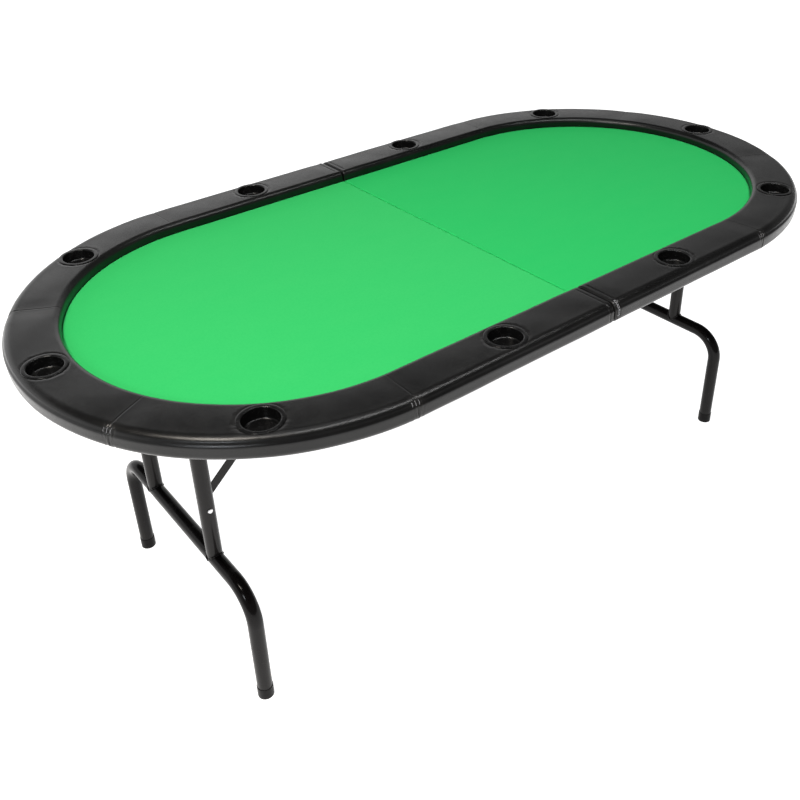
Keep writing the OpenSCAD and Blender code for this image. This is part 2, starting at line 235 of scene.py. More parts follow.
def make_leg_paint():
    f = Finish("leg_paint", specular_ior_level=0.08, coat_roughness=0.06)
    peel = f.noise(230, 3, 0.5)
    dust = f.step(f.noise(24, 5, 0.65), 0.5, 0.78)
    chips = f.step(f.cells(95), 0.05, 0.075, 1.0, 0.0) * f.step(f.noise(11, 2), 0.56, 0.66)
    edge = f.step(f.edges(), 0.53, 0.62)
    paint = f.mix(dust * 0.5, (0.0045, 0.0038, 0.0038), (0.009, 0.0078, 0.0075))
    paint = f.mix(edge * 0.3, paint, (0.04, 0.038, 0.037))
    f.set("Base Color", f.mix(chips * 0.55, paint, (0.11, 0.105, 0.1)))
    f.set("Roughness", f.step(dust + peel * 0.3, 0.1, 1.0, 0.17, 0.36))
    f.set("Coat Weight", 0.14 - dust * 0.06)
    return f.relief(peel - chips * 0.8, 0.00009, 0.7)


def make_bracket_steel():
    f = Finish("bracket_steel", specular_ior_level=0.5)
    grain = f.noise(420, 4, 0.6)
    rub = f.step(f.edges() + grain * 0.08, 0.56, 0.66)
    f.set("Base Color", f.mix(rub, (0.018, 0.018, 0.018), (0.19, 0.185, 0.18)))
    f.set("Metallic", rub * 0.8)
    f.set("Roughness", f.step(grain, 0.3, 0.7, 0.36, 0.52))
    return f.relief(grain, 0.0001, 0.6)


def make_plated_steel(name, shade, rough):
    f = Finish(name, metallic=1.0)
    brushed = f.noise(300, 4, 0.65, f.stretched(1, 1, 9))
    tarnish = f.noise(60, 4, 0.6)
    dark = tuple(c * 0.68 for c in shade)
    f.set("Base Color", f.mix(f.step(tarnish, 0.4, 0.72), shade, dark))
    f.set("Roughness", f.step(brushed + tarnish * 0.5, 0.4, 1.1, rough, rough + 0.18))
    return f.relief(brushed, 0.00006, 0.6)


def make_painted_board():
    f = Finish("painted_board", specular_ior_level=0.35)
    fibres = f.noise(260, 5, 0.72, f.stretched(1, 2.6, 1))
    patches = f.noise(5, 5, 0.62)
    scratches = f.step(f.noise(26, 6, 0.8, f.stretched(0.4, 6, 1)), 0.66, 0.78)
    paint = f.mix(f.step(patches, 0.35, 0.7), (0.014, 0.0135, 0.013), (0.028, 0.0265, 0.025))
    f.set("Base Color", f.mix(scratches * 0.4, paint, (0.075, 0.068, 0.06)))
    f.set("Roughness", f.step(fibres, 0.3, 0.7, 0.5, 0.72))
    return f.relief(fibres, 0.0003, 0.6)


def make_wood(name, light, dark, along):
    f = Finish(name, specular_ior_level=0.35)
    stretch = [34.0, 34.0, 34.0]
    stretch[along] = 2.2
    at = f.stretched(*stretch)
    values = {"Vector": at, "Scale": 0.8, "Distortion": 5.0, "Detail": 3.0, "Detail Scale": 0.7}
    rings = f.node("ShaderNodeTexWave", {"wave_type": "BANDS", "bands_direction": "Z"}, values, "Fac")
    fibres = f.noise(9, 5, 0.7, at)
    shade = f.mix(f.step(rings, 0.1, 0.95), light, dark)
    deepest = tuple(c * 0.55 for c in dark)
    f.set("Base Color", f.mix(f.step(fibres, 0.45, 0.75) * 0.55, shade, deepest))
    f.set("Roughness", f.step(fibres, 0.3, 0.7, 0.6, 0.78))
    return f.relief(fibres * 0.8 + rings * 0.3, 0.00025, 0.7)


def make_cap_rubber():
    f = Finish("cap_rubber", specular_ior_level=0.1)
    scuffs = f.noise(120, 5, 0.7)
    low = f.step(f.node("ShaderNodeSeparateXYZ", {}, {0: f.place()}, 2), 0.0, 0.012, 1.0, 0.0)
    dusty = low * f.step(scuffs, 0.3, 0.7)
    f.set("Base Color", f.mix(dusty * 0.4, (0.006, 0.0052, 0.0052), (0.03, 0.028, 0.026)))
    f.set("Roughness", f.step(scuffs, 0.3, 0.7, 0.3, 0.42))
    return f.relief(scuffs, 0.0002, 0.6)


def make_thread():
    f = Finish("seam_thread", specular_ior_level=0.4)
    twist = f.node("ShaderNodeTexWave", {"wave_type": "BANDS", "bands_direction": "DIAGONAL"},
                   {"Vector": f.place(), "Scale": 900.0, "Distortion": 1.0}, "Fac")
    f.set("Base Color", f.mix(twist, (0.2, 0.2, 0.215), (0.46, 0.46, 0.48)))
    f.set("Roughness", f.step(twist, 0.1, 0.9, 0.4, 0.6))
    return f.relief(twist, 0.0002, 0.8)


def make_floor():
    f = Finish("studio_floor", specular_ior_level=0.1)
    cloud = f.noise(0.6, 2)
    f.set("Base Color", f.mix(f.step(cloud, 0.3, 0.7), (0.9, 0.9, 0.9), (0.91, 0.91, 0.91)))
    f.set("Roughness", f.step(cloud, 0.3, 0.7, 0.85, 0.9))
    f.set("Emission Color", (1.0, 1.0, 1.0))
    f.set("Emission Strength", 1.0)
    return f.material


VINYL = make_vinyl()
CLOTH = make_cloth()
HOLDER_PLASTIC = make_holder_plastic()
LEG_PAINT = make_leg_paint()
BRACKET_STEEL = make_bracket_steel()
HINGE_STEEL = make_plated_steel("hinge_steel", (0.42, 0.42, 0.43), 0.34)
ZINC = make_plated_steel("bright_zinc", (0.66, 0.66, 0.67), 0.2)
PAINTED_BOARD = make_painted_board()
BATTEN_WOOD = make_wood("batten_wood", (0.42, 0.3, 0.17), (0.3, 0.19, 0.1), 1)
RING_WOOD = make_wood("ring_wood", (0.5, 0.38, 0.23), (0.36, 0.25, 0.14), 0)
CAP_RUBBER = make_cap_rubber()
THREAD = make_thread()

NODE_FINISH = {
    "board_screws": ZINC, "board": PAINTED_BOARD, "rail_core": RING_WOOD, "rail_screws": ZINC,
    "batten": BATTEN_WOOD, "hinge_screws": ZINC, "hinge_leaf": HINGE_STEEL, "hinge_pin": ZINC,
    "pivot_bolts": ZINC, "stay_bracket": BRACKET_STEEL, "leg_bracket": BRACKET_STEEL,
    "stay_upper": LEG_PAINT, "stay_lower": LEG_PAINT, "stay_rivets": ZINC, "leg_rivet": ZINC,
    "leg_foot_tube": LEG_PAINT, "leg_upright": LEG_PAINT, "foot_cap": CAP_RUBBER,
    "cup": HOLDER_PLASTIC,
}
for name, obj in nodes.items():
    kind = max((k for k in NODE_FINISH if name.startswith(k + "_")), key=len, default=None)
    if kind:
        obj.data.materials.clear()
        obj.data.materials.append(NODE_FINISH[kind])


# ---- mesh helpers ----


def new_piece(name, points, faces, material, body, smooth_angle=40.0):
    """Makes an object from points and faces, smooth but for sharp edges, and puts it on a body."""
    mesh = bpy.data.meshes.new(name)
    mesh.from_pydata([tuple(p) for p in points], [], [tuple(f) for f in faces])
    mesh.validate()
    obj = bpy.data.objects.new(name, mesh)
    scene.collection.objects.link(obj)
    mesh.materials.append(material)
    mesh.shade_smooth()
    mesh.set_sharp_from_angle(angle=math.radians(smooth_angle))
    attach(obj, body)
    return obj


def turned(points, side):
    """The right half is the left one turned half round."""
    points = np.asarray(points, float)
    return points if side == "left" else points * np.array([-1.0, -1.0, 1.0])


def rim_xy(s, r):
    """Plan position on the left rim: s along it from the front of the fold, r out from its axis."""
    s, r = np.broadcast_arrays(np.asarray(s, float), np.asarray(r, float))
    turn = np.clip((s - STRAIGHT) / HOLDER_R, 0.0, math.pi)
    before = np.clip(s, None, STRAIGHT)
    after = np.clip(s - STRAIGHT - math.pi * HOLDER_R, 0.0, None)
    x = -HALF_GAP - before - r * np.sin(turn) + after
    y = -r * np.cos(turn)
    return x, y


def rim_place(x, y):
    """The distance along the left rim that belongs to a plan position."""
    if x > -END_X:
        along = -HALF_GAP - x
        return along if y < 0 else HALF_RIM - along
    return STRAIGHT + HOLDER_R * (math.atan2(y, -END_X - x) + math.pi / 2)


def stations(length, step, fine_step, fine_places, reach):
    """Distances from 0 to length, closer together near some places."""
    found = [0.0]
    while found[-1] < length:
        here = found[-1]
        near = min(abs(here + fine_step - p) for p in fine_places)
        wide = fine_step if near < reach else min(step, fine_step + (near - reach) * 0.5)
        found.append(here + wide)
    found = np.array(found)
    return found * (length / found[-1])


def tube(path, radius, sides=8, closed=False):
    """Points and faces of a round rod along a path; radius is one number, or one for each point."""
    path = np.asarray(path, float)
    n = len(path)
    radius = np.broadcast_to(np.asarray(radius, float), (n,))
    ahead = np.roll(path, -1, 0) - np.roll(path, 1, 0) if closed else np.gradient(path, axis=0)
    ahead /= np.linalg.norm(ahead, axis=1)[:, None]
    side = np.cross(ahead[0], (0.0, 0.0, 1.0))
    if np.linalg.norm(side) < 1e-3:
        side = np.cross(ahead[0], (1.0, 0.0, 0.0))
    points, around = [], np.linspace(0, 2 * math.pi, sides, endpoint=False)
    for i in range(n):
        side = side - ahead[i] * (side @ ahead[i])
        side /= np.linalg.norm(side)
        up = np.cross(ahead[i], side)
        points += [path[i] + radius[i] * (math.cos(a) * side + math.sin(a) * up) for a in around]
    faces = []
    for i in range(n if closed else n - 1):
        a, b = i * sides, (i + 1) % n * sides
        faces += [(a + k, a + (k + 1) % sides, b + (k + 1) % sides, b + k) for k in range(sides)]
    if not closed:
        faces += [tuple(range(sides))[::-1], tuple((n - 1) * sides + k for k in range(sides))]
    return np.array(points), faces


def joined(parts):
    """Several (points, faces) as one."""
    points, faces, start = [], [], 0
    for p, f in parts:
        points.append(p)
        faces += [tuple(i + start for i in face) for face in f]
        start += len(p)
    return np.concatenate(points), faces


# ---- padded rail ----

TOP_ROUND_IN = 0.013
TOP_ROUND_OUT = 0.020
LOW_ROUND = 0.012
RING_T = 0.012
TURN_IN = 0.022
SECTION_STEP = 0.0022
ALONG_STEP, SEAM_STEP, SEAM_REACH = 0.0055, 0.0008, 0.013
PANEL_SWELL, SHOULDER_SWELL = 0.0013, 0.0007
HOLLOW_BELOW_SHOULDER, HOLLOW_DEPTH, HOLLOW_WIDTH = 0.0052, 0.0011, 0.0024
SEAM_DEPTH, SEAM_WIDTH = 0.0015, 0.001
GATHER_PITCH, GATHER_HEIGHT = 0.0066, 0.0012
LOW_GATHER_PITCH, LOW_GATHER_HEIGHT = 0.011, 0.0007
END_ROUND = 0.0042
END_SEAM_AT, END_SEAM_DEPTH = 0.0125, 0.0009
TUCK_PITCH, TUCK_HEIGHT = 0.0052, 0.0008
FLANGE_SINK, FLANGE_REACH = 0.0003, 0.0035

HOLDER_PLACES = sorted(rim_place(c.x, c.y) for c in HOLDERS)
SEAMS = [(a + b) / 2 for a, b in zip(HOLDER_PLACES, HOLDER_PLACES[1:])]


def arc(cx, cz, radius, first, last, step):
    count = max(2, round(abs(last - first) * radius / step))
    angles = np.linspace(first, last, count + 1)
    return [(cx + radius * math.cos(a), cz + radius * math.sin(a)) for a in angles]


def line(a, b, step):
    count = max(1, round(math.dist(a, b) / step))
    a, b = np.array(a), np.array(b)
    return [tuple(a + (b - a) * t) for t in np.linspace(0, 1, count + 1)]


def rail_section():
    """The closed outline as (distance from the rim's axis, height), and how many points are vinyl."""
    step = SECTION_STEP
    a = (RAIL_IN + TOP_ROUND_IN, RAIL_TOP - TOP_ROUND_IN)
    b = (RAIL_OUT - TOP_ROUND_OUT, RAIL_TOP - TOP_ROUND_OUT)
    c = (RAIL_OUT - LOW_ROUND, RAIL_BOTTOM + LOW_ROUND)
    skin = line((RAIL_IN, BOARD_TOP), (RAIL_IN, a[1]), step)
    skin += arc(*a, TOP_ROUND_IN, math.pi, math.pi / 2, step)[1:]
    skin += line((a[0], RAIL_TOP), (b[0], RAIL_TOP), step)[1:]
    skin += arc(*b, TOP_ROUND_OUT, math.pi / 2, 0, step)[1:]
    skin += line((RAIL_OUT, b[1]), (RAIL_OUT, c[1]), step)[1:]
    skin += arc(*c, LOW_ROUND, 0, -math.pi / 2, step)[1:]
    skin += line((c[0], RAIL_BOTTOM), (BOARD_R - TURN_IN, RAIL_BOTTOM), step)[1:]
    ring_in = RAIL_IN + TOP_ROUND_IN
    ring_top = BOARD_TOP + RING_T
    back = [(BOARD_R - TURN_IN, BOARD_BOTTOM), (BOARD_R, BOARD_BOTTOM), (BOARD_R, ring_top)]
    back += [(ring_in, ring_top), (ring_in, BOARD_TOP)]
    return np.array(skin + back), len(skin)


def bell(x, width):
    return np.exp(-np.square(x / width))


def ramp(x, low, high):
    t = np.clip((x - low) / (high - low), 0, 1)
    return t * t * (3 - 2 * t)


def waves(s, t, seed, count, size_s, size_t):
    """Smooth unevenness from a few crossing waves."""
    pick = random.Random(seed)
    total = np.zeros(np.broadcast(s, t).shape)
    for _ in range(count):
        ks = 2 * math.pi / (size_s * pick.uniform(0.6, 1.8)) * pick.choice((-1, 1))
        kt = 2 * math.pi / (size_t * pick.uniform(0.7, 2.0))
        total = total + np.sin(s * ks + t * kt + pick.uniform(0, 6.28))
    return total / math.sqrt(count)


def make_rail_pad(side):
    section, skin_count = rail_section()
    s = stations(HALF_RIM, ALONG_STEP, SEAM_STEP, SEAMS + [0.0, HALF_RIM], SEAM_REACH)
    skin = section[:skin_count]
    steps = np.linalg.norm(np.diff(skin, axis=0), axis=1)
    t = np.concatenate([[0.0], np.cumsum(steps)])
    ahead = np.gradient(skin, axis=0)
    ahead /= np.linalg.norm(ahead, axis=1)[:, None]
    normal = np.stack([-ahead[:, 1], ahead[:, 0]], 1)
    # where along the skin the top, the outer shoulder and the outer wall are
    wall_in = RAIL_TOP - TOP_ROUND_IN - BOARD_TOP
    top_from = wall_in + TOP_ROUND_IN * math.pi / 2
    top_to = top_from + RAIL_OUT - RAIL_IN - TOP_ROUND_IN - TOP_ROUND_OUT
    shoulder = top_to + TOP_ROUND_OUT * math.pi / 4
    wall_from = top_to + TOP_ROUND_OUT * math.pi / 2
    wall_to = wall_from + RAIL_TOP - TOP_ROUND_OUT - RAIL_BOTTOM - LOW_ROUND
    under_from = wall_to + LOW_ROUND * math.pi / 2

    S, T = s[:, None], t[None, :]
    soft = ramp(T, 0.002, 0.012) * (1 - ramp(T, under_from - 0.006, under_from + 0.001))
    on_top = ramp(T, top_from - 0.012, top_from + 0.004) * (1 - ramp(T, top_to - 0.002, top_to + 0.012))

    # each sewn panel is fullest in its middle, and fuller across the top
    marks = np.array([0.0] + SEAMS + [HALF_RIM])
    near_seam = np.min(np.abs(S[:, :, None] - marks[None, None, :]), axis=2)
    full = ramp(near_seam, 0.0, 0.05)
    margin = 0.02
    across = np.sin(math.pi * np.clip((T - top_from + margin) / (top_to - top_from + 2 * margin), 0, 1))
    lift = PANEL_SWELL * across * (0.35 + 0.65 * full)
    lift = lift + SHOULDER_SWELL * full * bell(T - shoulder, 0.018)
    # the padding's upper and side layers meet in a faint hollow along the shoulder
    hollow = shoulder + HOLLOW_BELOW_SHOULDER + 0.0006 * np.sin(S * 9.0)
    lift = lift - HOLLOW_DEPTH * bell(T - hollow, HOLLOW_WIDTH)
    lift = lift + 0.0005 * bell(T - hollow - 2 * HOLLOW_WIDTH, 0.0028)
    lift = lift + 0.0002 * waves(S, T, 11, 7, 0.24, 0.14)
    lift = lift + 0.00003 * waves(S, T, 12, 9, 0.07, 0.06)

    strain = np.zeros(np.broadcast(S, T).shape)
    pick = random.Random(5)
    for seam in SEAMS:
        off = S - seam - 0.0006 * np.sin(T * 60 + seam * 9)
        deep = 0.22 + 0.78 * ramp(T, top_to - 0.006, shoulder)
        lift = lift - SEAM_DEPTH * deep * bell(off, SEAM_WIDTH)
        lift = lift + 0.0003 * deep * bell(np.abs(off) - 0.0034, 0.0018)
        # three short gathers over the shoulder
        tucked = bell(T - shoulder - 0.003, 0.0105)
        phase = pick.uniform(-0.0006, 0.0006)
        gathers = np.cos(2 * math.pi * (S - seam + phase) / GATHER_PITCH) * bell(S - seam, 0.0085)
        lift = lift + GATHER_HEIGHT * gathers * tucked - 0.0011 * bell(S - seam, 0.011) * tucked
        strain = np.maximum(strain, bell(S - seam, 0.012) * bell(T - shoulder - 0.003, 0.02))
        # wider ones where the cover turns under
        low = bell(T - under_from + 0.004, 0.012)
        gathers = np.cos(2 * math.pi * (S - seam) / LOW_GATHER_PITCH) * bell(S - seam, 0.012)
        lift = lift + LOW_GATHER_HEIGHT * gathers * low

    # the ends at the fold are rounded, and the rear end's outer corner is gathered
    for end, gathered in ((0.0, False), (HALF_RIM, True)):
        d = np.abs(S - end)
        inside = np.clip(END_ROUND - d, 0, END_ROUND)
        lift = lift - (END_ROUND - np.sqrt(END_ROUND**2 - inside**2 * 0.98))
        lift = lift - END_SEAM_DEPTH * bell(d - END_SEAM_AT, 0.0012) * ramp(T, top_from, top_from + 0.01)
        if gathered:
            corner = ramp(T, top_to - 0.002, shoulder) * (1 - ramp(T, wall_to, under_from))
            tucks = np.cos(2 * math.pi * (T + 0.3 * d) / TUCK_PITCH) * bell(d - 0.006, 0.0055)
            lift = lift + TUCK_HEIGHT * tucks * corner
            strain = np.maximum(strain, corner * bell(d - 0.006, 0.012))

    R = skin[None, :, 0] + normal[None, :, 0] * lift * soft
    Z = skin[None, :, 1] + normal[None, :, 1] * lift * soft
    X, Y = rim_xy(S, R)
    # the holders' flanges press the padding down, and it stands up a little round them
    for c in HOLDERS:
        d = np.hypot(X - c.x, Y - c.y)
        over = on_top * soft
        sunk = RAIL_TOP - FLANGE_SINK
        pull = (1 - ramp(d, FLANGE_R - 0.0002, FLANGE_R + FLANGE_REACH)) * over
        Z = Z + (sunk - Z) * pull
        Z = Z + 0.0002 * bell(d - FLANGE_R - 0.004, 0.005) * over * (1 - pull)
        strain = np.maximum(strain, 0.5 * bell(d - FLANGE_R, 0.006) * over)

    n, m = len(s), len(section)
    full_r = np.broadcast_to(section[None, :, 0], (n, m)).copy()
    full_z = np.broadcast_to(section[None, :, 1], (n, m)).copy()
    fx, fy = rim_xy(S, full_r)
    fx, fy = fx.copy(), fy.copy()
    fx[:, :skin_count], fy[:, :skin_count], full_z[:, :skin_count] = X, Y, Z
    points = turned(np.stack([fx, fy, full_z], 2).reshape(-1, 3), side)
    i, k = np.meshgrid(np.arange(n - 1), np.arange(m), indexing="ij")
    a, b = i * m + k, i * m + (k + 1) % m
    faces = np.stack([a, a + m, b + m, b], 2).reshape(-1, 4)
    faces = [tuple(f) for f in faces.tolist()]
    faces += [tuple(range(m)), tuple(range((n - 1) * m, n * m))[::-1]]
    obj = new_piece(f"rail_pad_{side}", points, faces, VINYL, f"{side}_half", 50)
    kept = np.zeros((n, m), np.float32)
    kept[:, :skin_count] = strain
    obj.data.attributes.new("strain", "FLOAT", "POINT").data.foreach_set("value", kept.ravel())
    work = bmesh.new()
    work.from_mesh(obj.data)
    end_faces = [f for f in work.faces if len(f.verts) > 4]
    bmesh.ops.triangulate(work, faces=end_faces, ngon_method="EAR_CLIP")
    bmesh.ops.recalc_face_normals(work, faces=work.faces)
    work.to_mesh(obj.data)
    work.free()
    return obj


def drill(obj, centres, radius, low, high):
    """Cuts round holes into a closed mesh and keeps the result."""
    points, faces = joined([tube([(x, y, low), (x, y, high)], radius, 64) for x, y in centres])
    mesh = bpy.data.meshes.new("drill")
    mesh.from_pydata([tuple(p) for p in points], [], faces)
    cutter = bpy.data.objects.new("drill", mesh)
    scene.collection.objects.link(cutter)
    cut = obj.modifiers.new("holes", "BOOLEAN")
    cut.operation, cut.object, cut.solver = "DIFFERENCE", cutter, "EXACT"
    bpy.context.view_layer.update()
    done = bpy.data.meshes.new_from_object(obj.evaluated_get(bpy.context.evaluated_depsgraph_get()))
    obj.modifiers.remove(cut)
    old = obj.data
    obj.data = done
    bpy.data.meshes.remove(old)
    bpy.data.objects.remove(cutter)
    done.name = obj.name


HOLE_R = FLANGE_R - 0.0065
for side in SIDES:
    pad = make_rail_pad(side)
    centres = [centre_of(f"cup_{side}_{i}") for i in range(1, 6)]
    drill(pad, [(c.x, c.y) for c in centres], HOLE_R, BOARD_TOP + 0.0003, RAIL_TOP + 0.02)
    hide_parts(f"rail_cover_{side}", f"rail_foam_{side}")


# ---- cloth ----

WRAP = 0.012
CLOTH_T = 0.0007
FOLD_X = -0.0011
FOLD_ROUND = 0.0028
EDGE_DIP, EDGE_REACH = 0.0016, 0.0014


def make_cloth_sheet(side):
    """Foam-backed cloth over half the table, rounded down at the rail and turned over at the fold."""
    edge = RAIL_IN - CLOTH_CLEARANCE
    # from the lower hem at the fold, up over the edge and along the table
    x, z = FOLD_X - FOLD_ROUND, CLOTH_TOP - FOLD_ROUND
    profile = [(FOLD_X, z - WRAP), (FOLD_X, z - WRAP / 2)]
    profile += [(x + FOLD_ROUND * math.cos(a), z + FOLD_ROUND * math.sin(a))
                for a in np.linspace(0, math.pi / 2, 7)]
    for wide in [0.001, 0.002, 0.004, 0.008] + [0.016] * 60:
        if x - wide < -END_X:
            break
        x -= wide
        profile.append((x, CLOTH_TOP))
    profile[-1] = (-END_X, CLOTH_TOP)
    dips = [0.0, 0.0006, 0.0014, 0.0026, 0.0045, 0.008, 0.015, 0.03]
    radii = [edge - d for d in dips] + [edge * k / 14 for k in range(12, -1, -1)]
    rows = [(r, EDGE_DIP * math.exp(-(edge - r) / EDGE_REACH)) for r in radii]
    columns = []
    for px, pz in profile:
        columns.append([(px, -r, pz - dip) for r, dip in rows])
    for a in np.linspace(0, math.pi, 97)[1:-1]:
        out_x, out_y = math.sin(a), math.cos(a)
        columns.append([(-END_X - r * out_x, -r * out_y, CLOTH_TOP - dip) for r, dip in rows])
    for px, pz in reversed(profile):
        columns.append([(px, r, pz - dip) for r, dip in rows])
    n, m = len(columns), len(radii)
    points = turned(np.array(columns).reshape(-1, 3), side)
    faces = [(i * m + k, i * m + k + 1, (i + 1) * m + k + 1, (i + 1) * m + k)
             for i in range(n - 1) for k in range(m - 1)]
    obj = new_piece(f"cloth_{side}", points, faces, CLOTH, f"{side}_half", 60)
    work = bmesh.new()
    work.from_mesh(obj.data)
    bmesh.ops.remove_doubles(work, verts=work.verts, dist=1e-5)
    bmesh.ops.recalc_face_normals(work, faces=work.faces)
    middle = max(work.faces, key=lambda f: f.calc_area())
    if middle.normal.z < 0:
        bmesh.ops.reverse_faces(work, faces=work.faces)
    work.to_mesh(obj.data)
    work.free()
    # painted sheen: the left half's cloth gets the lighter green, the right half's the darker one
    nap_and_painted_sheen = np.full(len(obj.data.vertices), 1.0 if side == "left" else 0.0, np.float32)
    obj.data.attributes.new("painted_nap_sheen", "FLOAT", "POINT").data.foreach_set("value", nap_and_painted_sheen)
    thick = obj.modifiers.new("thickness", "SOLIDIFY")
    thick.thickness, thick.offset = CLOTH_T, -1
    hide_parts(f"felt_{side}")


for side in SIDES:
    make_cloth_sheet(side)


# ---- cup holders ----

FLANGE_T = cup_high.z - RAIL_TOP
MOUTH_R = FLANGE_R - 0.009
TAPER = 0.002
WALL = 0.002
INSIDE_FLOOR = cup_low.z + WALL
FLOOR_FILLET = 0.0034
MOUTH_ROUND = 0.0026
PROFILE_STEP = 0.0004


def lathe(profile, centre, sides=96):
    """A closed profile of (radius, height) turned about an upright line, sharing points on the line."""
    around = [(math.cos(a), math.sin(a)) for a in np.linspace(0, 2 * math.pi, sides, endpoint=False)]
    points, rings = [], []
    for radius, height in profile:
        if radius < 1e-7:
            rings.append([len(points)] * sides)
            points.append((centre[0], centre[1], height))
            continue
        rings.append(list(range(len(points), len(points) + sides)))
        points += [(centre[0] + radius * x, centre[1] + radius * y, height) for x, y in around]
    faces = []
    for low, high in zip(rings, rings[1:]):
        for k in range(sides):
            face = [low[k], low[(k + 1) % sides], high[(k + 1) % sides], high[k]]
            face = list(dict.fromkeys(face))
            if len(face) > 2:
                faces.append(tuple(face))
    return points, faces


def make_holder(side, number):
    """A moulded cup holder: crowned flange, tapered wall, and a flat floor with a fillet."""
    node = f"cup_{side}_{number}"
    centre = centre_of(node)
    floor_r = MOUTH_R - TAPER
    lip = FLANGE_T / 2
    slope = math.atan2(TAPER, RAIL_TOP - INSIDE_FLOOR)
    fillet_at = (floor_r - FLOOR_FILLET + 0.0003, INSIDE_FLOOR + FLOOR_FILLET)
    top_z = RAIL_TOP + FLANGE_T
    profile = [(0.0, cup_low.z), (floor_r + WALL - 0.001, cup_low.z), (floor_r + WALL, cup_low.z + 0.001)]
    profile += [(MOUTH_R + WALL, RAIL_TOP), (FLANGE_R - lip, RAIL_TOP)]
    profile += arc(FLANGE_R - lip, RAIL_TOP + lip, lip, -math.pi / 2, math.pi / 2.6, 0.0003)
    profile += [(FLANGE_R - 0.0030, top_z - 0.00008), (MOUTH_R + 0.0036, top_z)]
    mouth_at = (MOUTH_R + MOUTH_ROUND, top_z - MOUTH_ROUND)
    profile += arc(*mouth_at, MOUTH_ROUND, math.pi / 2, math.pi - slope, PROFILE_STEP)
    profile += arc(*fillet_at, FLOOR_FILLET, -slope, -math.pi / 2, PROFILE_STEP)
    profile += [(floor_r * share, INSIDE_FLOOR) for share in (0.8, 0.5, 0.2, 0.05, 0.0)]
    points, faces = lathe(profile, centre)
    name = f"holder_{side}_{number}"
    obj = new_piece(name, points, faces, HOLDER_PLASTIC, f"{side}_half", 32)
    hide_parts(node)


for side in SIDES:
    for number in range(1, 6):
        make_holder(side, number)


# ---- stitches, staples and welds ----

# angles over the shoulder count from the rail's top; a quarter turn is its outer face
STITCH_FROM, STITCH_TO, STITCH_R = 0.62, 1.12, 0.00042
WHIP_COUNT, WHIP_FROM, WHIP_PITCH, WHIP_LEAN, WHIP_R = 7, 0.32, 0.26, 0.16, 0.0005
WHIP_NEAR, WHIP_FAR = 0.0042, 0.0125
STAPLE_SPACING, STAPLE_WIRE, STAPLE_WIDTH = 0.046, 0.00045, 0.011
BEAD_STEPS, BEAD_R = 144, 0.0021


def rim_point(s, r, z):
    x, y = rim_xy(s, r)
    return np.array([float(x), float(y), z])


def shoulder_point(s, angle, out):
    """A point over the rail's outer shoulder, or on the outer face below it, lifted by out."""
    r = RAIL_OUT - TOP_ROUND_OUT + (TOP_ROUND_OUT + out) * math.sin(angle)
    z = RAIL_TOP - TOP_ROUND_OUT + (TOP_ROUND_OUT + out) * math.cos(angle)
    if angle > math.pi / 2:
        r = RAIL_OUT + out
        z = RAIL_TOP - TOP_ROUND_OUT - (angle - math.pi / 2) * TOP_ROUND_OUT
    return rim_point(s, r, z)


def make_seam_stitches(side):
    """Three short stitches hold the gathers over the shoulder at each seam."""
    middle, half = (STITCH_FROM + STITCH_TO) / 2, (STITCH_TO - STITCH_FROM) / 2
    parts = []
    for seam in SEAMS:
        for k in (-1, 0, 1):
            s = seam + (k + 0.5) * GATHER_PITCH - 0.0003
            path = []
            for a in np.linspace(STITCH_FROM, STITCH_TO, 7):
                off = a - middle
                path.append(shoulder_point(s + 0.0009 * off, a, 0.0001 - 0.0013 * abs(off) / half))
            parts.append(tube(path, STITCH_R, 6))
    points, faces = joined(parts)
    new_piece(f"seam_stitches_{side}", turned(points, side), faces, THREAD, f"{side}_half", 60)


def make_whip_stitches(side):
    """Crossed stitches close the gathered end of the cover, at the rear of the fold."""
    parts = []
    for k in range(WHIP_COUNT):
        a = WHIP_FROM + k * WHIP_PITCH
        for lean in (WHIP_LEAN, -WHIP_LEAN):
            path = []
            for t in np.linspace(0, 1, 7):
                s = HALF_RIM - WHIP_NEAR - (WHIP_FAR - WHIP_NEAR) * t
                arch = 0.0010 - 0.0030 * (2 * t - 1) ** 2
                path.append(shoulder_point(s, a - lean + 2 * lean * t, arch))
            parts.append(tube(path, WHIP_R, 6))
    points, faces = joined(parts)
    new_piece(f"end_stitches_{side}", turned(points, side), faces, THREAD, f"{side}_half", 60)


def make_staples(side):
    """Staples hold the turned-in cover to the underside of the board."""
    pick = random.Random(21)
    r = BOARD_R - TURN_IN * 0.62
    low = RAIL_BOTTOM - STAPLE_WIRE * 0.6
    half_bend = [(0.5, RAIL_BOTTOM + 0.0012), (0.5, low + 0.0004), (0.46, low)]
    bend = [(-along, z) for along, z in half_bend] + half_bend[::-1]
    parts = []
    for s in np.arange(0.03, HALF_RIM - 0.02, STAPLE_SPACING):
        s = s + pick.uniform(-0.005, 0.005)
        at, lean = r + pick.uniform(-0.002, 0.002), pick.uniform(-0.2, 0.2)
        path = []
        for share, z in bend:
            along = share * STAPLE_WIDTH
            path.append(rim_point(s + along, at + along * lean, z))
        parts.append(tube(path, STAPLE_WIRE, 6))
    points, faces = joined(parts)
    new_piece(f"staples_{side}", turned(points, side), faces, ZINC, f"{side}_half", 40)


